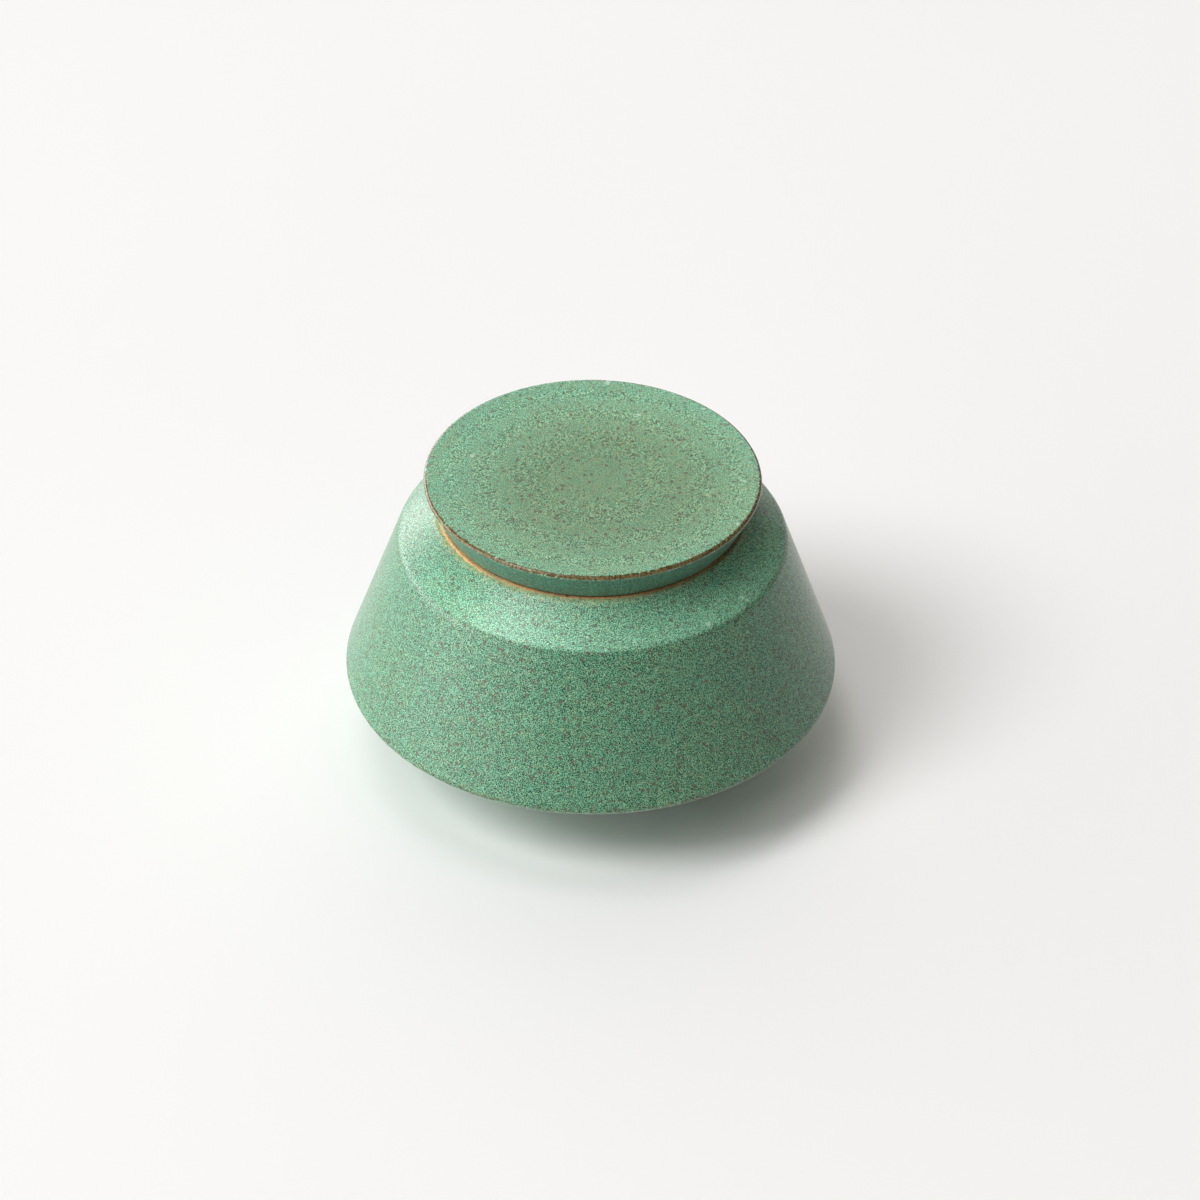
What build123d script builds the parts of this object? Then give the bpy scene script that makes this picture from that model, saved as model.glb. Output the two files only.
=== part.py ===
from build123d import *
import os

# Lidded jar of wheel-turned stoneware. A squat body flares down from a flat bare ledge at the
# mouth to a sharp widest edge, and tucks in below it to a small foot ring. The lid is a
# flared disc that sits on the ledge, and a flange under it locates it in the mouth.
# Sizes are in millimetres. +Z is up, Z = 0 is the table and the Z axis is the axis of turning.

# Clay and glaze
wall_thickness = 4.5
floor_thickness = 5.0
glaze_thickness = 0.5

# Foot ring, the only part of the jar that stands on the table
foot_radius = 34.0
foot_height = 3.0
foot_ring_width = 4.5
foot_recess_depth = 2.0
foot_edge_rounding = 0.8
foot_cove_rounding = 2.0
foot_bare_height = 1.4

# Body, measured from the ledge outwards and down, over the glaze
ledge_width = 5.0
ledge_reveal = 1.1
ledge_edge_rounding = 1.0
ledge_bare_margin = 0.5
shoulder_spread = 11.7
shoulder_drop = 9.6
shoulder_rounding = 5.0
wall_spread = 15.5
wall_drop = 44.1
widest_edge_rounding = 1.5
underside_drop = 23.0

# Hollow of the body
hollow_floor_rounding = 8.0
hollow_widest_rounding = 7.0
hollow_shoulder_rounding = 6.0
hollow_top_rounding = 1.5
mouth_edge_rounding = 1.0

# Lid, over the glaze
lid_base_radius = 42.0
lid_flare = 5.85
lid_height = 10.6
lid_rim_rounding = 1.0
lid_rim_land = 2.6
lid_dish_depth = 0.8
lid_crown_thickness = 4.8
lid_base_rounding = 0.4
lid_bare_height = 0.6

# Locating flange under the lid
flange_depth = 7.0
flange_thickness = 3.5
flange_edge_rounding = 1.0
flange_bare_height = 1.5
flange_clearance = 0.8
recess_rounding = 3.0

# Length by which a cut passes the face that it opens
overrun = 1.0

# Heights and radii that follow from the sizes above
widest_height = foot_height + underside_drop
shoulder_height = widest_height + wall_drop
seat_height = shoulder_height + shoulder_drop
lid_top = seat_height + lid_height
ledge_radius = lid_base_radius + ledge_reveal
mouth_radius = ledge_radius - ledge_width
shoulder_radius = ledge_radius + shoulder_spread
widest_radius = shoulder_radius + wall_spread
lid_rim_radius = lid_base_radius + lid_flare
flange_radius = mouth_radius - flange_clearance
recess_radius = flange_radius - flange_thickness
flange_bottom = seat_height - flange_depth
recess_top = lid_top - lid_dish_depth - glaze_thickness - lid_crown_thickness
reach = widest_radius + lid_top + overrun


def inset(corners, depth):
    """Moves the right-hand corners of a two-sided outline inwards by the depth.

    A corner is its radius, its height and its rounding. They run from the bottom to the top.
    An outer rounding gets smaller by the depth and an inner one larger, so the faces of both
    outlines stay parallel all the way round.
    """
    mirrored_first = (-corners[0][0], corners[0][1], 0)
    mirrored_last = (-corners[-1][0], corners[-1][1], 0)
    ring = [mirrored_first, *corners, mirrored_last]
    moved = []
    for before, corner, after in zip(ring, ring[1:], ring[2:]):
        arriving = Vector(corner[0] - before[0], corner[1] - before[1]).normalized()
        leaving = Vector(after[0] - corner[0], after[1] - corner[1]).normalized()
        stretch = depth / (1 + arriving.dot(leaving))
        radius = corner[0] - (arriving.Y + leaving.Y) * stretch
        height = corner[1] + (arriving.X + leaving.X) * stretch
        turns_outwards = arriving.cross(leaving).Z > 0
        rounding = corner[2] - depth if turns_outwards else corner[2] + depth
        moved.append((radius, height, max(rounding, 0) if corner[2] else 0))
    return moved


def outline(corners):
    """The face inside the corners and their mirror images across the axis of turning."""
    ring = corners + [(-radius, height, rounding) for radius, height, rounding in reversed(corners)]
    points = [(radius, height) for radius, height, _ in ring]
    roundings = [rounding for _, _, rounding in ring]
    return make_face(FilletPolyline(*points, radius=roundings, close=True))


def block(low_radius, low_height, high_radius, high_height):
    """A rectangular face between two radii and two heights."""
    face = Rectangle(high_radius - low_radius, high_height - low_height, align=(Align.MIN, Align.MIN))
    return Pos(low_radius, low_height) * face


def rounded(face, radius, height, rounding):
    """Rounds the corner of the face that lies nearest to a point."""
    corner = face.vertices().sort_by_distance((radius, height))[0]
    return fillet(corner, rounding)


def turned(face):
    """The solid that the right-hand half of a face sweeps round the axis of turning."""
    half = face & block(0, -reach, reach, reach)
    return revolve(Plane.XZ * half, Axis.Z)


def body_outline(depth):
    """The body's outside, the given depth below the surface of a glaze that covered it all."""
    corners = [
        (foot_radius, -glaze_thickness, 0),
        (foot_radius, foot_height, foot_cove_rounding),
        (widest_radius, widest_height, widest_edge_rounding),
        (shoulder_radius, shoulder_height, shoulder_rounding),
        (ledge_radius, seat_height + glaze_thickness, ledge_edge_rounding),
    ]
    return outline(inset(corners, depth))


def hollow_outline(depth):
    """The body's hollow and its mouth, the given depth inside the clay's own inner faces."""
    base_height = foot_recess_depth + floor_thickness - glaze_thickness - wall_thickness
    shell = [
        (foot_radius, base_height, 0),
        (widest_radius, widest_height, 0),
        (shoulder_radius, shoulder_height, 0),
        (ledge_radius, seat_height + glaze_thickness, 0),
    ]
    roundings = [
        hollow_floor_rounding,
        hollow_widest_rounding,
        hollow_shoulder_rounding,
        hollow_top_rounding,
    ]
    inner = inset(shell, glaze_thickness + wall_thickness)
    corners = [(radius, height, new) for (radius, height, _), new in zip(inner, roundings)]
    corners.append((mouth_radius, corners[-1][1], mouth_edge_rounding))
    corners.append((mouth_radius, seat_height + overrun, 0))
    return outline(inset(corners, depth))


def lid_outline(depth):
    """The lid's outside without its flange, the given depth below the surface of the glaze."""
    corners = [
        (lid_base_radius, seat_height - glaze_thickness, 0),
        (lid_rim_radius, lid_top, lid_rim_rounding),
    ]
    dish_half_width = lid_rim_radius - lid_rim_land
    dish_radius = (dish_half_width**2 + lid_dish_depth**2) / (2 * lid_dish_depth)
    dish_centre = lid_top - lid_dish_depth + dish_radius
    dish = Pos(0, dish_centre) * Circle(dish_radius + depth)
    return outline(inset(corners, depth)) - dish


def recess_outline(depth):
    """The hollow inside the lid's flange, the given depth inside the clay's own faces."""
    corners = [
        (recess_radius, flange_bottom - overrun, 0),
        (recess_radius, recess_top, recess_rounding),
    ]
    return outline(inset(corners, depth))


def jar_body():
    """Fired clay of the body: floor, wall, shoulder, ledge and foot ring."""
    face = body_outline(glaze_thickness) - hollow_outline(0)
    face = rounded(face, foot_radius - glaze_thickness, 0, foot_edge_rounding)
    foot_inner_radius = foot_radius - glaze_thickness - foot_ring_width
    face = face - block(-foot_inner_radius, -overrun, foot_inner_radius, foot_recess_depth)
    face = rounded(face, foot_inner_radius, 0, foot_edge_rounding)
    return turned(face)


def jar_glaze():
    """Outer glaze of the body, from above the foot's wiped edge to just short of the ledge."""
    coat = body_outline(0) - body_outline(glaze_thickness)
    bare_radius = ledge_radius + ledge_bare_margin
    coat = coat - block(-reach, -reach, reach, foot_bare_height)
    return turned(coat - block(-bare_radius, shoulder_height, bare_radius, reach))


def jar_liner_glaze():
    """Glaze inside the body, up to the rounded lower edge of the bare mouth."""
    coat = hollow_outline(0) - hollow_outline(glaze_thickness)
    bare_radius = mouth_radius + mouth_edge_rounding
    return turned(coat - block(-bare_radius, widest_height, bare_radius, reach))


def lid_body():
    """Fired clay of the lid: flared disc, flat seat and locating flange."""
    flange = block(-flange_radius, flange_bottom, flange_radius, seat_height + overrun)
    face = lid_outline(glaze_thickness) + flange - recess_outline(0)
    base_corner_radius = inset([(lid_base_radius, seat_height - glaze_thickness, 0),
                                (lid_rim_radius, lid_top, 0)], glaze_thickness)[0][0]
    face = rounded(face, base_corner_radius, seat_height, lid_base_rounding)
    face = rounded(face, flange_radius, flange_bottom, flange_edge_rounding)
    face = rounded(face, recess_radius, flange_bottom, flange_edge_rounding)
    return turned(face)


def lid_glaze():
    """Outer glaze of the lid: top, rim and flared side, wiped back from the seat."""
    coat = lid_outline(0) - lid_outline(glaze_thickness)
    return turned(coat - block(-reach, -reach, reach, seat_height + lid_bare_height))


def lid_liner_glaze():
    """Glaze inside the lid's recess, wiped back from the flange's lower edge."""
    coat = recess_outline(0) - recess_outline(glaze_thickness)
    return turned(coat - block(-reach, -reach, reach, flange_bottom + flange_bare_height))


os.makedirs("parts", exist_ok=True)
for make in (jar_body, jar_glaze, jar_liner_glaze, lid_body, lid_glaze, lid_liner_glaze):
    export_step(make(), f"parts/{make.__name__}.step")
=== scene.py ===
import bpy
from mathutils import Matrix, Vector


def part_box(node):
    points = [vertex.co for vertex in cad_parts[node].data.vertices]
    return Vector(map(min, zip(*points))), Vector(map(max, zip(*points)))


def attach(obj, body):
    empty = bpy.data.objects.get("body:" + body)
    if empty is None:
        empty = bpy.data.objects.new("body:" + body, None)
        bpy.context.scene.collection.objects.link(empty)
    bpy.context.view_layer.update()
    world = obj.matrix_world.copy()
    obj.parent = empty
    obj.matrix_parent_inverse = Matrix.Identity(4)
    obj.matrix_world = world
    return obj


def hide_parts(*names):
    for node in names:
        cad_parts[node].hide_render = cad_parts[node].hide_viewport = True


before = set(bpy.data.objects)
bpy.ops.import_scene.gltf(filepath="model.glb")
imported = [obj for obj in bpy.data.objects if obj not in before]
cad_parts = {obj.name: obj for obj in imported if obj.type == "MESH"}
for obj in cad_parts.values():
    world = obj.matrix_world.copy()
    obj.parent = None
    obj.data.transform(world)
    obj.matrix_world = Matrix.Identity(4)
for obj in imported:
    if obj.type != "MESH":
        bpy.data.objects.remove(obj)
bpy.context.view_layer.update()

import math

import bpy
import numpy as np
from mathutils import Matrix, Vector

# Lidded stoneware jar under a matte speckled green glaze. The clay and the glaze coats are
# lathed again here at full smoothness, from the same sizes as the CAD nodes that they replace,
# with the small unevenness of a hand-turned and hand-glazed pot. Profiles are in millimetres.
mm = 0.001

# Clay and glaze
wall_thickness = 4.5
floor_thickness = 5.0
glaze_thickness = 0.5

# Foot ring and body, over the glaze
foot_radius = 34.0
foot_height = 3.0
foot_ring_width = 4.5
foot_recess_depth = 2.0
foot_edge_rounding = 0.8
foot_cove_rounding = 2.0
foot_bare_height = 1.4
ledge_width = 5.0
ledge_reveal = 1.1
ledge_edge_rounding = 1.0
shoulder_spread = 11.7
shoulder_rounding = 5.0
wall_spread = 15.5
wall_drop = 44.1
widest_edge_rounding = 1.5
underside_drop = 23.0

# Hollow of the body
hollow_floor_rounding = 8.0
hollow_widest_rounding = 7.0
hollow_shoulder_rounding = 6.0
hollow_top_rounding = 1.5
mouth_edge_rounding = 1.0
mouth_top_rounding = 0.35

# Lid, over the glaze, and the flange under it
lid_base_radius = 42.0
lid_flare = 5.85
lid_height = 10.6
lid_rim_rounding = 1.0
lid_rim_land = 2.6
lid_dish_depth = 0.8
lid_crown_thickness = 4.8
lid_base_rounding = 0.4
lid_bare_height = 0.6
flange_depth = 7.0
flange_thickness = 3.5
flange_edge_rounding = 1.0
flange_bare_height = 1.5
flange_clearance = 0.8
recess_rounding = 3.0

# Heights and radii that follow, as in the CAD model
seat_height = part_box("jar_body")[1].z / mm
lid_top = seat_height + lid_height
widest_height = foot_height + underside_drop
shoulder_height = widest_height + wall_drop
ledge_radius = lid_base_radius + ledge_reveal
mouth_radius = ledge_radius - ledge_width
shoulder_radius = ledge_radius + shoulder_spread
widest_radius = shoulder_radius + wall_spread
lid_rim_radius = lid_base_radius + lid_flare
flange_radius = mouth_radius - flange_clearance
recess_radius = flange_radius - flange_thickness
flange_bottom = seat_height - flange_depth
recess_top = lid_top - lid_dish_depth - glaze_thickness - lid_crown_thickness

# Unevenness of the hand: how far it takes the surface inside its true size
oval_depth = 0.05
spiral_depth = 0.012
spiral_pitch = 4.1
jar_seed = 1
lid_seed = 2

# Glaze coats and the lines that they end at
glaze_feather = 0.5          # width over which a coat thins out to its line
glaze_overrun = 0.1          # how far its last film runs past that line
glaze_fade = 3.0             # distance from its line at which a coat has its full colour
glaze_root = 0.08            # how far a coat's hidden face lies inside the clay
line_wander = 0.25
line_wander_length = 6.0
seat_painted_shade_reach = 1.4       # of the painted shade: a near-black band round the foot of the lid's side, where the gap at the seat lies in shadow

# Outer glaze of the body: its two lines
body_line_gap = 0.15         # how near to the lid's foot its upper line may come
body_line_painted_light_lean = 0.56        # how much further the upper line stands back on the left, which widens the bare ring where the light falls: painted light
body_line_shaded_strength = 0.8        # how strong the lines' colours are on the right, if 1 on the left: painted shade on the shaded right
right_side = math.radians(-40)

# Outer glaze of the body: heavier on the shoulder and painted lighter there, most of all in front,
# away from the lit left, and at the outer end, as a painted highlight by the crease
painted_light_side = math.radians(-75)
painted_light_side_fade = (-0.15, 0.85)       # cosines of the angle from that side
shoulder_slope = (0.55, 0.74)          # heights of the normal, from the wall to the shoulder
shoulder_inner_share = 0.35
shoulder_highlight_margin = 1.0

# Outer glaze of the body: worn over the widest edge, heavier under it, with a ridge of glaze along it;
# under the edge both are lighter and paler, a painted reflection of the bright floor
edge_wear = 0.4
edge_wear_height = 0.5
edge_wear_reach = 0.8
edge_turn = 0.3
edge_pool_and_reflection = 0.7
edge_pool_and_reflection_reach = 4.0
edge_bead_and_reflection_reach = 1.8

# Outer glaze of the lid: worn along its rim, thin round a spot that lies off its axis towards the
# front right, so that its left and back are painted lighter: painted light
lid_line_height = lid_bare_height / 3
rim_wear_inset = 0.2
rim_wear_reach = 0.72
painted_light_shift = 5.5
thin_spot_fade = (0.35, 1.0)           # shares of the rim's radius
lid_side_slope = (-0.4, 0.2)           # heights of the normal, from the side to the top; the side, facing down, gets painted shade over a deeper teal

# Fineness of the lathed meshes
around = 480
clay_step = 1.5
glaze_step = 0.6
hidden_step = 3              # rings of a coat's face to each ring of its hidden face
arc_step = math.radians(8)
sharp_angle = math.radians(50)
angles = np.linspace(0, 2 * math.pi, around, endpoint=False)
leftness = (1 - np.cos(angles - right_side)) / 2


def inset(corners, depth):
    """Corners of the outline that lies the depth inside the given one: radius, height, rounding."""
    first, last = corners[0], corners[-1]
    ring = [(-first[0], first[1]), *corners, (-last[0], last[1])]
    moved = []
    for before, corner, after in zip(ring, ring[1:], ring[2:]):
        arriving = Vector((corner[0] - before[0], corner[1] - before[1])).normalized()
        leaving = Vector((after[0] - corner[0], after[1] - corner[1])).normalized()
        stretch = depth / (1 + arriving.dot(leaving))
        radius = corner[0] - (arriving.y + leaving.y) * stretch
        height = corner[1] + (arriving.x + leaving.x) * stretch
        turns_outwards = arriving.x * leaving.y - arriving.y * leaving.x > 0
        rounding = corner[2] - depth if turns_outwards else corner[2] + depth
        moved.append((radius, height, max(rounding, 0) if corner[2] else 0))
    return moved


def rounded_path(corners, step):
    """Points along straight runs through the corners, with an arc for each rounding."""
    points = [np.array(corners[0][:2])]

    def run_to(end):
        start = points[-1]
        steps = max(1, round(np.hypot(*(end - start)) / step))
        points.extend(start + (end - start) * k / steps for k in range(1, steps + 1))

    for before, corner, after in zip(corners, corners[1:], corners[2:]):
        peak = np.array(corner[:2])
        back = np.array(before[:2]) - peak
        ahead = np.array(after[:2]) - peak
        back, ahead = back / np.hypot(*back), ahead / np.hypot(*ahead)
        half = math.acos(np.clip(back @ ahead, -1, 1)) / 2
        if not corner[2]:
            run_to(peak)
            continue
        bisector = (back + ahead) / np.hypot(*(back + ahead))
        centre = peak + bisector * corner[2] / math.sin(half)
        run_to(peak + back * corner[2] / math.tan(half))
        start = points[-1] - centre
        sweep = math.copysign(math.pi - 2 * half, back[1] * ahead[0] - back[0] * ahead[1])
        steps = max(4, round(abs(sweep) / arc_step))
        for k in range(1, steps + 1):
            c, s = math.cos(sweep * k / steps), math.sin(sweep * k / steps)
            points.append(centre + (c * start[0] - s * start[1], s * start[0] + c * start[1]))
    run_to(np.array(corners[-1][:2]))
    return np.array(points)


def outward(path):
    """Unit normals on the right-hand side of a path, which is outside the clay."""
    along = np.gradient(path, axis=0)
    along /= np.hypot(along[:, 0], along[:, 1])[:, None]
    normal = np.stack([along[:, 1], -along[:, 0]], axis=1)
    on_axis = path[:, 0] < glaze_root
    normal[on_axis] = np.sign(normal[on_axis]) * (0, 1)
    return normal


def smoothstep(low, high, value):
    """0 below the low value, 1 above the high one and a smooth rise between them."""
    t = np.clip((value - low) / (high - low), 0, 1)
    return t * t * (3 - 2 * t)


def soft_noise(points, size, seed):
    """Smooth random values from 0 to 1 at the points, with blotches of about the size."""
    cells = 32
    table = np.random.default_rng(seed).random((cells, cells, cells))
    low = np.floor(points / size).astype(int)
    part = smoothstep(0, 1, points / size - low)
    total = 0.0
    for corner in np.ndindex(2, 2, 2):
        weight = np.prod(np.where(corner, part, 1 - part), axis=-1)
        i, j, k = np.moveaxis((low + corner) % cells, -1, 0)
        total = total + weight * table[i, j, k]
    return total


def in_space(radii, heights):
    """Points in space for grids of radii and heights: rings along the first axis, then angles."""
    return np.stack([radii * np.cos(angles), radii * np.sin(angles), heights], axis=-1)


def hand_turned(radii, heights, seed):
    """Radii with the slight ovalness and the faint throwing spiral of a pot."""
    phase = np.random.default_rng(seed).random(3) * 2 * math.pi
    oval = oval_depth * (1 - np.cos(2 * angles + phase[0]))
    three_sided = oval_depth / 2 * (1 - np.cos(3 * angles + phase[1]))
    turn = 2 * math.pi * heights / spiral_pitch - angles + phase[2]
    spiral = spiral_depth * (1 - np.cos(turn))
    return radii - radii / widest_radius * (oval + three_sided + spiral)


def lathe(name, radii, heights, seed, closed=False, **values):
    """A mesh object from grids of radii and heights. A ring of no radius is a single point.
    Each of the values is a grid of numbers that the mesh keeps for its material."""
    places = in_space(hand_turned(radii, heights, seed), heights) * mm
    is_point = radii.max(axis=1) < glaze_root
    kept = np.ones(radii.shape, bool)
    kept[is_point, 1:] = False
    number = np.cumsum(kept).reshape(kept.shape) - 1
    number[is_point] = number[is_point, :1]
    here, there = number, np.roll(number, -1, axis=1)
    faces = []
    for low in range(len(radii) if closed else len(radii) - 1):
        high = (low + 1) % len(radii)
        if is_point[low] and is_point[high]:
            continue
        corners = [here[low], there[low], there[high], here[high]]
        if is_point[low]:
            corners.pop(1)
        if is_point[high]:
            corners.pop()
        faces.extend(np.stack(corners, axis=1).tolist())
    mesh = bpy.data.meshes.new(name)
    mesh.from_pydata(places[kept].tolist(), [], faces)
    mesh.polygons.foreach_set("use_smooth", [True] * len(mesh.polygons))
    mesh.set_sharp_from_angle(angle=sharp_angle)
    for key, grid in values.items():
        layer = mesh.attributes.new(key, "FLOAT", "POINT")
        layer.data.foreach_set("value", grid[kept].astype(np.float32))
    piece = bpy.data.objects.new(name, mesh)
    bpy.context.scene.collection.objects.link(piece)
    return piece


def near(path, corner, reach):
    """A column that is 1 round a corner and falls to 0 at the reach from it."""
    away = np.hypot(path[:, 0] - corner[0], path[:, 1] - corner[1])
    return 1 - smoothstep(reach / 2, reach, away)[:, None]


def clay_piece(name, corners, seed, shaded_corner=None):
    """A clay body: its whole section, from the axis round to the axis. Round the shaded corner, if it
    has one, the clay is painted dark: painted shade of the gap there."""
    path = rounded_path(corners, clay_step)
    ones = np.ones((1, around))
    stain = near(path, shaded_corner, seat_painted_shade_reach) if shaded_corner else np.zeros((len(path), 1))
    return lathe(name, path[:, :1] * ones, path[:, 1:] * ones, seed, clay_stain=stain * ones)


def from_line(path, at_start, seed, lean=0.0):
    """How far each point of a coat's path, at each angle, lies from the wandering line at the
    path's start or end. The line stands further back on the jar's left, by the lean, which widens
    the bare ring on the lit left: painted light."""
    along = np.concatenate([[0], np.cumsum(np.hypot(*np.diff(path, axis=0).T))])
    end = path[0 if at_start else -1]
    circle = in_space(np.full((1, around), end[0]), np.full((1, around), end[1]))
    wander = line_wander * soft_noise(circle, line_wander_length, seed)
    wander += line_wander / 2 * soft_noise(circle, line_wander_length / 4, seed + 1)
    wander += lean * leftness
    return (along if at_start else along[-1] - along)[:, None] - wander


def coat_piece(name, path, bare, seed, thin=0, pooled_and_painted_light=0, tint_and_painted_light=0, line_strength=1):
    """A glaze coat over a clay path, and what its material reads. bare is the distance from its
    nearest line, and the last argument is how strongly that line's colours show. The others are 1
    where the glaze has run off an edge, where it pools, with painted light there, and where it has
    the second tint of its material, which is partly painted light."""
    normal = outward(path)
    sunk = -glaze_root / 2
    thickness = sunk + (glaze_thickness - sunk) * smoothstep(-glaze_overrun, glaze_feather, bare)
    hidden = np.r_[len(path) - 1:0:-hidden_step, 0]
    root = path[hidden] - normal[hidden] * glaze_root
    ones = np.ones(thickness.shape)
    radii = np.vstack([path[:, :1] + normal[:, :1] * thickness, root[:, :1] * ones[hidden]])
    heights = np.vstack([path[:, 1:] + normal[:, 1:] * thickness, root[:, 1:] * ones[hidden]])
    looks = {
        "glaze_edge": np.clip(1 - bare / glaze_fade, 0, 1) * line_strength,
        "glaze_thin": thin * ones,
        "glaze_pooled_and_painted_light": pooled_and_painted_light * ones,
        "glaze_tint_and_painted_light": tint_and_painted_light * ones,
    }
    looks = {key: np.vstack([grid, grid[hidden]]) for key, grid in looks.items()}
    return lathe(name, radii, heights, seed, closed=True, **looks)


# Corners of the body and of the lid, over the glaze and under it: radius, height, rounding
body_corners = [
    (foot_radius, -glaze_thickness, 0),
    (foot_radius, foot_height, foot_cove_rounding),
    (widest_radius, widest_height, widest_edge_rounding),
    (shoulder_radius, shoulder_height, shoulder_rounding),
    (ledge_radius, seat_height + glaze_thickness, ledge_edge_rounding),
]
lid_corners = [
    (lid_base_radius, seat_height - glaze_thickness, 0),
    (lid_rim_radius, lid_top, lid_rim_rounding),
]
body_clay_corners = inset(body_corners, glaze_thickness)
lid_clay_corners = inset(lid_corners, glaze_thickness)


def hollow_corners():
    """The body's hollow, from its floor up to its mouth."""
    base_height = foot_recess_depth + floor_thickness - glaze_thickness - wall_thickness
    shell = [
        (foot_radius, base_height, 0),
        (widest_radius, widest_height, 0),
        (shoulder_radius, shoulder_height, 0),
        (ledge_radius, seat_height + glaze_thickness, 0),
    ]
    roundings = [
        hollow_floor_rounding,
        hollow_widest_rounding,
        hollow_shoulder_rounding,
        hollow_top_rounding,
    ]
    inner = inset(shell, glaze_thickness + wall_thickness)
    corners = [(radius, height, new) for (radius, height, _), new in zip(inner, roundings)]
    return corners + [(mouth_radius, corners[-1][1], mouth_edge_rounding)]


def dish_corners():
    """The dish in the lid's top, under the glaze, from the rim's land in to the axis."""
    half_width = lid_rim_radius - lid_rim_land
    dish_radius = (half_width**2 + lid_dish_depth**2) / (2 * lid_dish_depth)
    centre = lid_top - lid_dish_depth + dish_radius
    radii = np.arange(half_width, 0, -clay_step)
    heights = centre - np.sqrt((dish_radius + glaze_thickness) ** 2 - radii**2)
    dish = [(radius, height, 0) for radius, height in zip(radii, heights)]
    return dish + [(0, centre - dish_radius - glaze_thickness, 0)]


def jar_body():
    """Fired clay of the body: foot ring, wall, shoulder, ledge, mouth and hollow."""
    foot_inner_radius = foot_radius - glaze_thickness - foot_ring_width
    hollow = hollow_corners()
    corners = [
        (0, foot_recess_depth, 0),
        (foot_inner_radius, foot_recess_depth, 0),
        (foot_inner_radius, 0, foot_edge_rounding),
        (foot_radius - glaze_thickness, 0, foot_edge_rounding),
        *body_clay_corners[1:],
        (mouth_radius, seat_height, mouth_top_rounding),
        *reversed(hollow),
        (0, hollow[0][1], 0),
    ]
    return clay_piece("jar_clay", corners, jar_seed)


def shoulder_pool_and_painted_light(path):
    """How heavily the body's glaze lies on its shoulder, from 0 to 1, with painted light: most in
    front and at the outer end, a painted highlight by the crease.
    """
    flat = smoothstep(*shoulder_slope, outward(path)[:, 1:])
    outer = smoothstep(ledge_radius, shoulder_radius - shoulder_highlight_margin, path[:, :1])
    # Painted light: least on the lit left, most in front
    painted_light_in_front = smoothstep(*painted_light_side_fade, np.cos(angles - painted_light_side))
    return flat * (shoulder_inner_share + (1 - shoulder_inner_share) * outer) * painted_light_in_front


def jar_glaze():
    """Outer glaze of the body, from above the foot's wiped edge to just short of the ledge."""
    start = (foot_radius - glaze_thickness, foot_bare_height, 0)
    path = rounded_path([start, *body_clay_corners[1:]], glaze_step)
    on_shoulder = path[:, 1] > shoulder_height
    path = path[~on_shoulder | (path[:, 0] > lid_base_radius + body_line_gap)]
    lower_line = from_line(path, True, seed=11)
    # The upper line stands back on the lit left, widening the bare ring there: painted light
    upper_line = from_line(path, False, seed=13, lean=body_line_painted_light_lean)
    edge = body_clay_corners[2]
    under = 1 - smoothstep(-edge_turn, edge_turn, path[:, 1:] - edge[1])
    thin = edge_wear * near(path, (edge[0], edge[1] + edge_wear_height), edge_wear_reach)
    # Painted reflection: under the widest edge the pool tint paints the bright floor's reflection
    pooled_and_painted_light = np.maximum(shoulder_pool_and_painted_light(path), edge_pool_and_reflection * near(path, edge, edge_pool_and_reflection_reach) * under)
    # Painted reflection: the ridge under the widest edge, paled by the second tint
    bead_and_reflection = near(path, edge, edge_bead_and_reflection_reach) * under
    # Painted shade: the lines' colours weaker on the shaded right
    line_strength = body_line_shaded_strength + (1 - body_line_shaded_strength) * leftness
    bare = np.minimum(lower_line, upper_line)
    return coat_piece("jar_outer_glaze", path, bare, jar_seed, thin, pooled_and_painted_light, bead_and_reflection, line_strength)


def jar_liner():
    """Glaze inside the body, up to the rounded lower edge of the bare mouth."""
    hollow = hollow_corners()
    start = (mouth_radius + mouth_edge_rounding, hollow[-1][1], 0)
    path = rounded_path([start, *reversed(hollow[:-1]), (0, hollow[0][1], 0)], clay_step)
    return coat_piece("jar_inner_glaze", path, from_line(path, True, seed=15), jar_seed)


def lid_body():
    """Fired clay of the lid: flared disc, flat seat and locating flange."""
    foot_of_flare = (lid_clay_corners[0][0], seat_height, lid_base_rounding)
    corners = [
        (0, recess_top, 0),
        (recess_radius, recess_top, recess_rounding),
        (recess_radius, flange_bottom, flange_edge_rounding),
        (flange_radius, flange_bottom, flange_edge_rounding),
        (flange_radius, seat_height, 0),
        foot_of_flare,
        lid_clay_corners[1],
        *dish_corners(),
    ]
    # The foot of the flare gets painted shade, for the shaded gap at the seat
    return clay_piece("lid_clay", corners, lid_seed, shaded_corner=foot_of_flare)


def lid_glaze():
    """Outer glaze of the lid: flared side, rim and dished top, wiped back from the seat."""
    low, high = lid_clay_corners
    lowest = seat_height + lid_line_height
    share = (lowest - low[1]) / (high[1] - low[1])
    start = (low[0] + (high[0] - low[0]) * share, lowest, 0)
    path = rounded_path([start, high, *dish_corners()], glaze_step)
    bare = from_line(path, True, seed=17)
    thin = near(path, (high[0] - rim_wear_inset, high[1]), rim_wear_reach)
    flat = in_space(path[:, :1] * np.ones((1, around)), np.zeros(bare.shape))
    # Painted light: the spot sits to the front right, so the left and back are lighter
    off_centre = np.linalg.norm(flat - (painted_light_shift, -painted_light_shift, 0), axis=-1)
    pooled_and_painted_light = smoothstep(*thin_spot_fade, off_centre / lid_rim_radius)
    # Painted shade: the lid's side, facing down, darker, over a deeper teal glaze
    side = 1 - smoothstep(*lid_side_slope, outward(path)[:, 1:])
    return coat_piece("lid_outer_glaze", path, bare, lid_seed, thin, pooled_and_painted_light, side)


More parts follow.
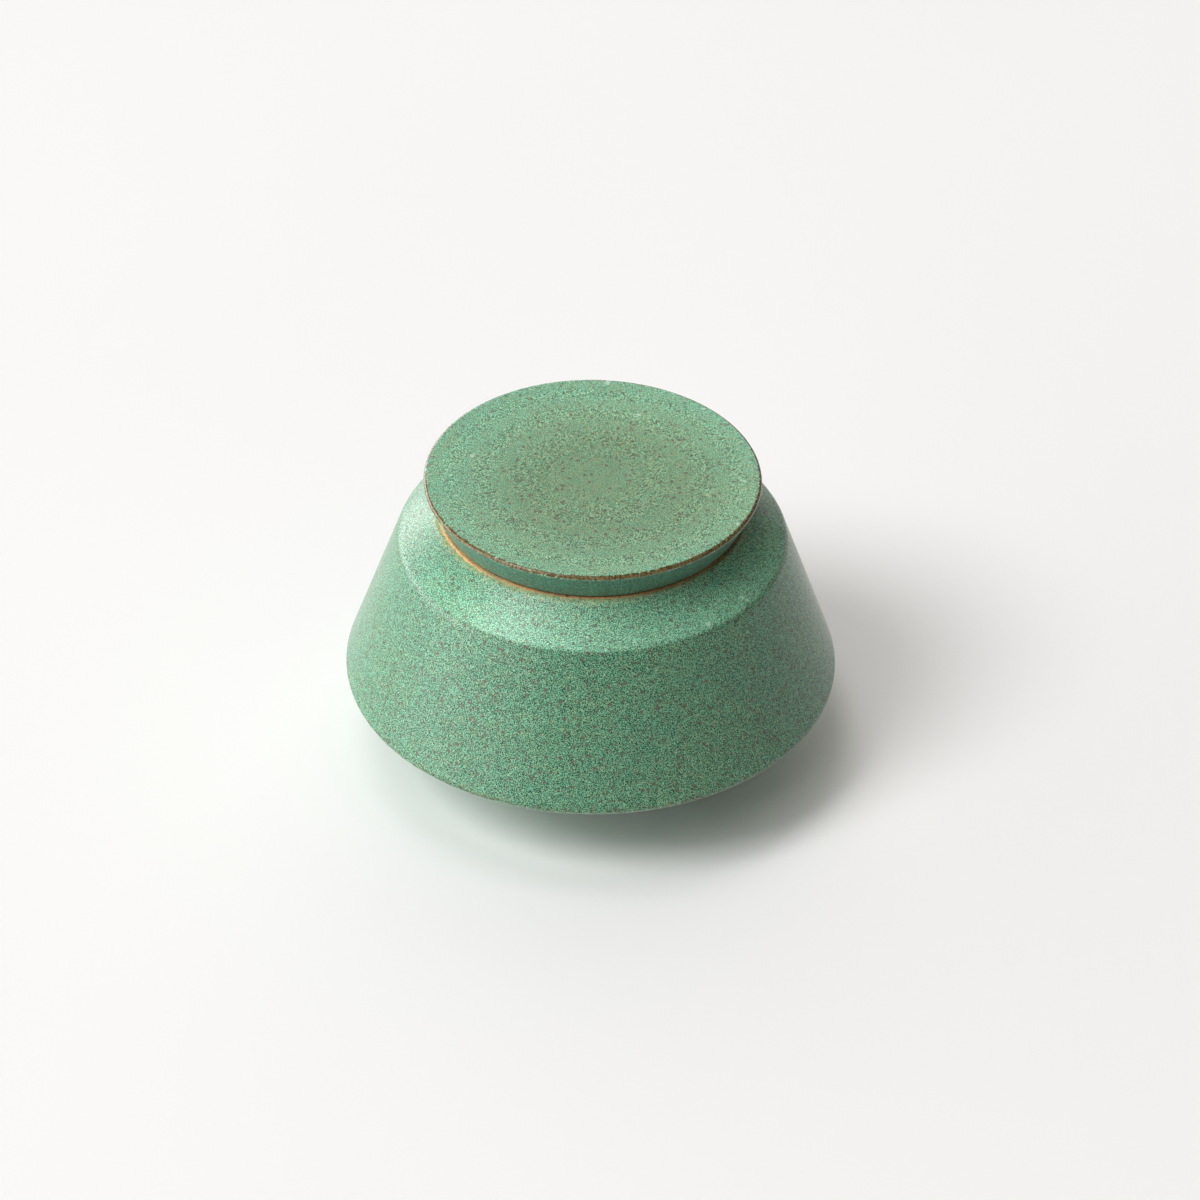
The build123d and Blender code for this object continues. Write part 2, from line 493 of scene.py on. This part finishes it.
def lid_liner():
    """Glaze inside the lid's recess, wiped back from the flange's lower edge."""
    corners = [
        (0, recess_top, 0),
        (recess_radius, recess_top, recess_rounding),
        (recess_radius, flange_bottom + flange_bare_height, 0),
    ]
    path = rounded_path(corners, clay_step)
    return coat_piece("lid_inner_glaze", path, from_line(path, False, seed=19), lid_seed)


def colour(red, green, blue):
    """A colour as the shader's sockets take it."""
    return (red, green, blue, 1.0)


white = colour(1, 1, 1)


class Nodes:
    """Adds shader nodes to a tree. Each value given is a number, a colour or a node's output."""

    def __init__(self, tree):
        self.tree = tree

    def fill(self, node, inputs):
        """Links outputs to the node's sockets, and sets constants on the sockets themselves."""
        for key, value in inputs.items():
            if isinstance(value, bpy.types.NodeSocket):
                self.tree.links.new(value, node.inputs[key])
            else:
                node.inputs[key].default_value = value

    def add(self, kind, inputs=None, **settings):
        """A new node with its settings made and its sockets filled."""
        node = self.tree.nodes.new(kind)
        for key, value in settings.items():
            setattr(node, key, value)
        self.fill(node, inputs or {})
        return node

    def math(self, operation, first, second):
        node = self.add("ShaderNodeMath", {0: first, 1: second}, operation=operation)
        return node.outputs["Value"]

    def times(self, first, second):
        return self.math("MULTIPLY", first, second)

    def vector(self, operation, inputs):
        node = self.add("ShaderNodeVectorMath", inputs, operation=operation)
        return node.outputs["Value" if operation == "LENGTH" else "Vector"]

    def ranged(self, value, low, high, to_low=0.0, to_high=1.0):
        """The value's range from low to high, mapped to another one and cut off there."""
        inputs = {"Value": value, "From Min": low, "From Max": high, "To Min": to_low, "To Max": to_high}
        return self.add("ShaderNodeMapRange", inputs).outputs["Result"]

    def stretched(self, noise, reach, to_low=0.0, to_high=1.0):
        """The part of a noise within the reach of its mean, 0.5, mapped to a range."""
        return self.ranged(noise, 0.5 - reach, 0.5 + reach, to_low, to_high)

    def frayed(self, value, noise, depth, reach=0.2):
        """A value that a noise raises and lowers by the depth, so that its border is ragged."""
        return self.math("ADD", value, self.stretched(noise, reach, -depth, depth))

    def mixed(self, factor, first, second):
        """A number between two others."""
        node = self.add("ShaderNodeMix", {0: factor, 2: first, 3: second}, data_type="FLOAT")
        return node.outputs[0]

    def mix(self, factor, first, second, blend="MIX"):
        """A colour between two others."""
        inputs = {0: factor, 6: first, 7: second}
        node = self.add("ShaderNodeMix", inputs, data_type="RGBA", blend_type=blend)
        return node.outputs[2]

    def tinted(self, base, factor, first, second):
        """The base multiplied by the first colour, or by the second where the factor is 1."""
        return self.mix(1.0, base, self.mix(factor, first, second), "MULTIPLY")

    def ramp(self, value, *stops):
        """A colour read from stops, each of which is a position and a colour."""
        node = self.add("ShaderNodeValToRGB", {"Fac": value})
        elements = node.color_ramp.elements
        while len(elements) < len(stops):
            elements.new(0.5)
        for element, (position, tone) in zip(elements, stops):
            element.position = position
            element.color = tone
        return node.outputs["Color"]

    def attribute(self, name):
        return self.add("ShaderNodeAttribute", attribute_name=name).outputs["Fac"]


class Finish(Nodes):
    """A material of procedural nodes. Sizes are in metres on the piece's own surface."""

    def __init__(self, name):
        self.material = bpy.data.materials.new(name)
        self.material.use_nodes = True
        super().__init__(self.material.node_tree)
        self.shader = self.tree.nodes["Principled BSDF"]
        self.place = self.add("ShaderNodeTexCoord").outputs["Object"]

    def moved(self, seed, place=None):
        """The place in a noise that is read, moved so that each seed reads another part of it."""
        offset = Vector((seed, 2 * seed, 3 * seed))
        return self.vector("ADD", {0: place or self.place, 1: offset})

    def noise(self, size, seed, detail=1.0, place=None):
        inputs = {"Vector": self.moved(seed, place), "Scale": 1 / size, "Detail": detail}
        return self.add("ShaderNodeTexNoise", inputs).outputs["Fac"]

    def spokes(self, size, stretch, seed):
        """Noise drawn out along lines from the axis of turning."""
        flat = self.vector("MULTIPLY", {0: self.place, 1: (1, 1, 0)})
        aim = self.vector("NORMALIZE", {0: flat})
        rim = self.vector("SCALE", {0: aim, "Scale": lid_rim_radius * mm})
        rise = self.times(self.vector("LENGTH", {0: flat}), stretch)
        lift = self.add("ShaderNodeCombineXYZ", {"Z": rise}).outputs["Vector"]
        return self.noise(size, seed, place=self.vector("ADD", {0: rim, 1: lift}))

    def specks(self, spacing, radius, share, seed):
        """Ragged round spots: 1 inside, 0 outside. Only the share of the cells holds one."""
        softness = 0.3
        choice_softness = 0.05
        ragged = self.noise(radius, seed + 5)
        cells = self.add("ShaderNodeTexVoronoi", {"Vector": self.moved(seed), "Scale": 1 / spacing})
        size = self.times(ragged, 2 * radius / spacing)
        inside = self.math("SUBTRACT", size, cells.outputs["Distance"])
        spots = self.ranged(inside, 0.0, softness * radius / spacing)
        draw = self.add("ShaderNodeSeparateColor", {"Color": cells.outputs["Color"]}).outputs["Red"]
        return self.times(spots, self.ranged(draw, share + choice_softness, share - choice_softness))

    def bump(self, height, distance, strength):
        inputs = {"Height": height, "Distance": distance, "Strength": strength}
        self.fill(self.shader, {"Normal": self.add("ShaderNodeBump", inputs).outputs["Normal"]})


def speckled(finish, grain, flecks):
    """Dark gaps, middle greens and pale flecks, some cooler and some warmer, in broad clouds."""
    base = finish.ramp(grain, *zip((0.37, 0.50, 0.63), flecks))
    fine_hue, coarse_hue = finish.noise(0.5 * mm, 3, detail=0.0), finish.noise(1.5 * mm, 12)
    hue = finish.stretched(finish.mixed(0.5, fine_hue, coarse_hue), 0.15)
    base = finish.tinted(base, hue, colour(0.76, 1.00, 1.04), colour(1.26, 1.00, 0.95))
    broad = finish.stretched(finish.noise(20 * mm, 4, detail=2.0), 0.15)
    return finish.tinted(base, broad, colour(0.95, 0.99, 1.01), colour(1.05, 1.01, 0.98))


def pooling_and_painted_light(finish, streaked):
    """How heavily the glaze lies, with the light painted there, broken up in spokes or in small patches.
    """
    thick_and_painted_light = finish.attribute("glaze_pooled_and_painted_light")
    if streaked:
        thick_and_painted_light = finish.frayed(thick_and_painted_light, finish.spokes(0.9 * mm, 0.22, 9), 0.25, reach=0.25)
    else:
        thick_and_painted_light = finish.frayed(thick_and_painted_light, finish.noise(2.5 * mm, 9), 0.10, reach=0.25)
    return finish.ranged(thick_and_painted_light, 0.0, 1.0)


def thickened_with_painted_light(finish, base, pooled_and_painted_light, tint, haze, haze_colour, thickest_tint):
    """The base tinted and hazy where the glaze pools and where light is painted, with one more tint
    where it is thickest."""
    base = finish.tinted(base, pooled_and_painted_light, white, tint)
    base = finish.mix(finish.times(pooled_and_painted_light, haze), base, haze_colour)
    return finish.tinted(base, finish.ranged(pooled_and_painted_light, 0.9, 1.0), white, thickest_tint)


def clouded(finish, base, pooled_and_painted_light, mottle):
    """The base with rusty clouds, which the glaze hides where it pools."""
    clouds = finish.ranged(finish.noise(2.5 * mm, 14, detail=3.0), 0.48, 0.68, 0.0, mottle)
    shown = finish.ranged(pooled_and_painted_light, 0.0, 1.0, 1.0, 0.2)
    return finish.tinted(base, finish.times(clouds, shown), white, colour(1.22, 0.93, 0.88))


def specked(finish, base, pooled_and_painted_light):
    """The base with faint and strong iron specks, and a few pale ones where the glaze pools."""
    faint = finish.times(finish.specks(1.3 * mm, 0.38 * mm, 0.6, 6), 0.55)
    base = finish.mix(faint, base, colour(0.160, 0.140, 0.100))
    shown = finish.ranged(pooled_and_painted_light, 0.0, 1.0, 0.85, 0.60)
    strong = finish.times(finish.specks(1.9 * mm, 0.55 * mm, 0.6, 5), shown)
    base = finish.mix(strong, base, colour(0.100, 0.075, 0.060))
    pale = finish.times(finish.specks(9 * mm, 0.9 * mm, 0.5, 7), finish.times(pooled_and_painted_light, 0.6))
    return finish.mix(pale, base, colour(0.60, 0.80, 0.68))


def lined(finish, base, patchy, tint_and_painted_light, straw, second_tint_and_painted_light, line_colour, line_colour_fade):
    """The base turning to straw near its line and to the line's colour at it, over its second tint.
    The line's colour is the bare clay's orange on the body and painted shade on the lid, and the
    second tint is partly painted light.
    """
    edge = finish.attribute("glaze_edge")
    border = finish.ranged(finish.frayed(edge, patchy, 0.35), 0.45, 1.10, 0.0, straw)
    base = finish.mix(border, base, colour(0.540, 0.500, 0.240))
    base = finish.tinted(base, tint_and_painted_light, white, second_tint_and_painted_light)
    line = finish.ranged(finish.frayed(edge, patchy, 0.10), *line_colour_fade)
    return finish.mix(line, base, line_colour)


def worn_off(finish, patchy):
    """Where the glaze has run off an edge, in ragged patches."""
    thin = finish.attribute("glaze_thin")
    patches = finish.ranged(finish.frayed(thin, patchy, 0.60, reach=0.25), 0.42, 0.72)
    return finish.times(patches, finish.ranged(thin, 0.0, 0.6))


def green_glaze(name, flecks, mottle, pool_and_painted_light_tint, pool_and_painted_light_haze, thickest_tint, straw, second_tint_and_painted_light,
                line_colour, line_colour_fade, streaked):
    """Matte green glaze: fine pale flecks with dark gaps, iron specks, and bare brown where it has
    run thin. flecks are its colours from dark to pale, mottle is how far rusty clouds tint it,
    straw is how far it yellows near its line, the colour given for the line is the bare clay's
    orange on the body and painted shade on the lid, and streaked glaze pools in spokes. Where it
    pools it is also lighter as painted light, and its second tint is partly painted light."""
    finish = Finish(name)
    fine = finish.noise(0.25 * mm, 1, detail=0.0)
    soft = finish.noise(0.75 * mm, 2)
    grain = finish.mixed(0.07, fine, soft)
    patchy = finish.noise(0.8 * mm, 8, detail=2.0)
    # Second tint: painted reflection under the body's widest edge, painted shade on the lid's side
    tint_and_painted_light = finish.attribute("glaze_tint_and_painted_light")
    pooled_and_painted_light = pooling_and_painted_light(finish, streaked)
    worn = worn_off(finish, patchy)
    base = speckled(finish, grain, flecks)
    base = thickened_with_painted_light(finish, base, pooled_and_painted_light, pool_and_painted_light_tint, pool_and_painted_light_haze, flecks[-1], thickest_tint)
    base = clouded(finish, base, pooled_and_painted_light, mottle)
    base = specked(finish, base, pooled_and_painted_light)
    base = lined(finish, base, patchy, tint_and_painted_light, straw, second_tint_and_painted_light, line_colour, line_colour_fade)
    brown = (colour(0.058, 0.038, 0.013), colour(0.180, 0.134, 0.050))
    base = finish.mix(worn, base, finish.mix(finish.stretched(soft, 0.15), *brown))
    matte = finish.stretched(grain, 0.15, 0.42, 0.33)
    finish.fill(finish.shader, {
        "Base Color": base,
        "Roughness": finish.mixed(worn, matte, 0.22),
        "Specular IOR Level": 0.4,
        "Sheen Weight": finish.ranged(tint_and_painted_light, 0.0, 0.5, 0.34, 0.0),
        "Sheen Roughness": 0.28,
    })
    finish.bump(finish.math("ADD", fine, finish.noise(3 * mm, 10)), 0.10 * mm, 0.20)
    return finish.material


def jar_green_glaze():
    """Cool green of the body, milky where it pools and straw-coloured near its lines, painted lighter
    on the shoulder's front and crease as painted light and highlight, and lighter and paler under
    the widest edge as a painted reflection of the bright floor.
    """
    return green_glaze(
        "jar_green_glaze",
        flecks=(colour(0.006, 0.030, 0.013), colour(0.072, 0.206, 0.116), colour(0.210, 0.470, 0.293)),
        mottle=0.35,
        # Pool tint and haze: pooled glaze, with painted light on the shoulder and under the widest edge
        pool_and_painted_light_tint=colour(2.05, 1.84, 2.06),
        pool_and_painted_light_haze=0.30,
        thickest_tint=white,
        straw=0.8,
        # Second tint: the pale ridge under the widest edge, a painted reflection of the bright floor
        second_tint_and_painted_light=colour(1.80, 1.00, 1.20),
        line_colour=colour(0.720, 0.450, 0.190),
        line_colour_fade=(0.90, 0.96),
        streaked=False,
    )


def lid_green_glaze():
    """Rusty green of the lid, bluer where it pools and painted lighter on its left and back, with a
    dark teal side that is partly painted shade, and painted shade near black at its lower line.
    """
    return green_glaze(
        "lid_green_glaze",
        flecks=(colour(0.028, 0.075, 0.034), colour(0.132, 0.272, 0.144), colour(0.280, 0.515, 0.300)),
        mottle=0.45,
        pool_and_painted_light_tint=colour(1.36, 1.44, 1.62),
        pool_and_painted_light_haze=0.0,
        thickest_tint=colour(0.95, 1.06, 1.10),
        straw=0.0,
        # Painted shade: the lid's side darker, over its deeper teal glaze
        second_tint_and_painted_light=colour(0.34, 0.43, 0.46),
        # Painted shade: the lid's lower line near black, where it lies in the shaded gap at the seat
        line_colour=colour(0.030, 0.022, 0.012),
        line_colour_fade=(0.66, 0.84),
        streaked=True,
    )


def liner_glaze():
    """Satin glaze of the insides: the same green, smoother and paler."""
    finish = Finish("liner_glaze")
    fine = finish.noise(0.8 * mm, 21, detail=1.5)
    base = finish.ramp(
        fine,
        (0.30, colour(0.120, 0.230, 0.160)),
        (0.55, colour(0.210, 0.390, 0.270)),
        (0.75, colour(0.330, 0.520, 0.370)),
    )
    base = finish.mix(finish.specks(3.5 * mm, 0.5 * mm, 0.6, 24), base, colour(0.130, 0.075, 0.055))
    ragged_edge = finish.math("ADD", finish.attribute("glaze_edge"), finish.noise(1 * mm, 25))
    base = finish.mix(finish.ranged(ragged_edge, 0.9, 1.2), base, colour(0.420, 0.280, 0.130))
    satin = finish.stretched(fine, 0.2, 0.34, 0.26)
    finish.fill(finish.shader, {"Base Color": base, "Roughness": satin})
    finish.bump(finish.noise(3 * mm, 28), 0.15 * mm, 0.2)
    return finish.material


def fired_clay():
    """Bare stoneware: an orange tan from the kiln, with iron specks and a dry, gritty surface, and
    painted shade, near black, round the lid's foot.
    """
    finish = Finish("fired_clay")
    grit = finish.noise(0.5 * mm, 31, detail=2.0)
    base = finish.ramp(
        grit,
        (0.30, colour(0.380, 0.190, 0.070)),
        (0.50, colour(0.620, 0.360, 0.140)),
        (0.70, colour(0.740, 0.480, 0.220)),
    )
    broad = finish.stretched(finish.noise(14 * mm, 32), 0.15)
    base = finish.tinted(base, broad, white, colour(0.82, 0.90, 1.05))
    base = finish.mix(finish.specks(2.6 * mm, 0.45 * mm, 0.5, 34), base, colour(0.090, 0.045, 0.025))
    # Painted shade: near black round the lid's foot, where the gap at the seat lies in shadow
    base = finish.mix(finish.attribute("clay_stain"), base, colour(0.030, 0.018, 0.010))
    dry = finish.stretched(grit, 0.2, 0.95, 0.80)
    finish.fill(finish.shader, {"Base Color": base, "Roughness": dry})
    finish.bump(grit, 0.1 * mm, 0.5)
    return finish.material


def dress(piece, material, body, node):
    """Gives a piece its material and the body it moves with, and hides the CAD node it stands for."""
    piece.data.materials.append(material)
    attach(piece, body)
    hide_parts(node)


def studio_floor():
    """A plain pale floor that reaches past every view."""
    half = 6.0
    corners = [(-half, -half, 0), (half, -half, 0), (half, half, 0), (-half, half, 0)]
    mesh = bpy.data.meshes.new("studio_floor")
    mesh.from_pydata(corners, [], [(0, 1, 2, 3)])
    floor = bpy.data.objects.new("studio_floor", mesh)
    bpy.context.scene.collection.objects.link(floor)
    finish = Finish("studio_floor")
    shades = ((0.2, colour(0.882, 0.884, 0.886)), (0.8, colour(0.892, 0.894, 0.896)))
    finish.fill(finish.shader, {
        "Base Color": finish.ramp(finish.noise(0.2, 41), *shades),
        "Roughness": 0.9,
        "Specular IOR Level": 0.2,
    })
    mesh.materials.append(finish.material)


def soft_light(name, azimuth, elevation, wide, tall, irradiance, tint):
    """A soft light aimed at the jar, seen from it this wide and tall. Angles are in degrees."""
    distance = 8.0
    light = bpy.data.lights.new(name, "AREA")
    light.shape = "ELLIPSE" if wide == tall else "RECTANGLE"
    light.size = 2 * distance * math.tan(math.radians(wide / 2))
    light.size_y = 2 * distance * math.tan(math.radians(tall / 2))
    light.energy = math.pi * distance**2 * irradiance
    light.color = tint
    lamp = bpy.data.objects.new(name, light)
    a, e = math.radians(azimuth), math.radians(elevation)
    towards = Vector((math.cos(e) * math.cos(a), math.cos(e) * math.sin(a), math.sin(e)))
    lamp.location = towards * distance
    lamp.rotation_mode = "QUATERNION"
    lamp.rotation_quaternion = towards.to_track_quat("Z", "Y")
    lamp.visible_camera = False
    bpy.context.scene.collection.objects.link(lamp)


def studio_world(fill, reflected):
    """A dim white fill, which cameras see as a white studio and reflections as a greyer one."""
    world = bpy.data.worlds.new("studio_world")
    bpy.context.scene.world = world
    world.use_nodes = True
    nodes = Nodes(world.node_tree)
    rays = nodes.add("ShaderNodeLightPath").outputs
    seen = nodes.math("MAXIMUM", rays["Is Camera Ray"], nodes.times(rays["Is Glossy Ray"], reflected))
    strength = nodes.ranged(seen, 0.0, 1.0, to_low=fill)
    nodes.fill(world.node_tree.nodes["Background"], {"Color": white, "Strength": strength})


def photo_camera():
    """The photograph's camera, from a fit to the jar's rims: how far it stands from the widest
    edge's centre, where a square image shows that point, and how the camera is turned."""
    image_width = 1200
    focal_pixels = 5000
    centre_column, centre_row = 590.64, 657.25
    pitch, roll = 0.6522, 0.0138
    distance = 1430.891 * mm
    target = Vector((0, 0, widest_height * mm))
    camera = bpy.data.objects.new("photo_camera", bpy.data.cameras.new("photo_camera"))
    bpy.context.scene.collection.objects.link(camera)
    camera.data.lens = focal_pixels / image_width * camera.data.sensor_width
    camera.data.clip_end = 50
    forward = Vector((0, math.cos(pitch), -math.sin(pitch)))
    up = Vector((0, math.sin(pitch), math.cos(pitch)))
    right = Vector((1, 0, 0))
    across = (centre_column - image_width / 2) / focal_pixels
    down = (centre_row - image_width / 2) / focal_pixels
    c, s = math.cos(roll), math.sin(roll)
    aside = distance * (c * across + s * down)
    above = distance * (c * down - s * across)
    eye = target - forward * distance - right * aside + up * above
    turned = Matrix((right * c + up * s, up * c - right * s, -forward)).transposed().to_4x4()
    camera.matrix_world = Matrix.Translation(eye) @ turned
    bpy.context.scene.camera = camera


jar_green, lid_green = jar_green_glaze(), lid_green_glaze()
inner, bare_clay = liner_glaze(), fired_clay()
dress(jar_body(), bare_clay, "jar", "jar_body")
dress(jar_glaze(), jar_green, "jar", "jar_glaze")
dress(jar_liner(), inner, "jar", "jar_liner_glaze")
dress(lid_body(), bare_clay, "lid", "lid_body")
dress(lid_glaze(), lid_green, "lid", "lid_glaze")
dress(lid_liner(), inner, "lid", "lid_liner_glaze")

studio_floor()

# Each light's azimuth, elevation, width and height in degrees, its irradiance and its tint
soft_light("window_light", 150, 6, 110, 14, 7.10, (1.00, 1.00, 1.01))
soft_light("side_light", 210, 6, 60, 14, 1.35, (1.00, 1.00, 1.00))
soft_light("key_light", 210, 49, 26, 26, 1.84, (1.00, 1.00, 1.00))
soft_light("top_light", 150, 76, 26, 26, 0.54, (1.00, 1.00, 1.00))
soft_light("front_light", 250, 55, 26, 26, 0.46, (1.02, 1.00, 0.98))
soft_light("right_light", 300, 42, 60, 60, 0.24, (1.14, 1.00, 0.86))
soft_light("back_light", 84, 42, 60, 60, 0.93, (1.09, 1.00, 0.93))

studio_world(fill=0.005, reflected=0.06)
photo_camera()
bpy.context.scene.view_settings.view_transform = "Standard"
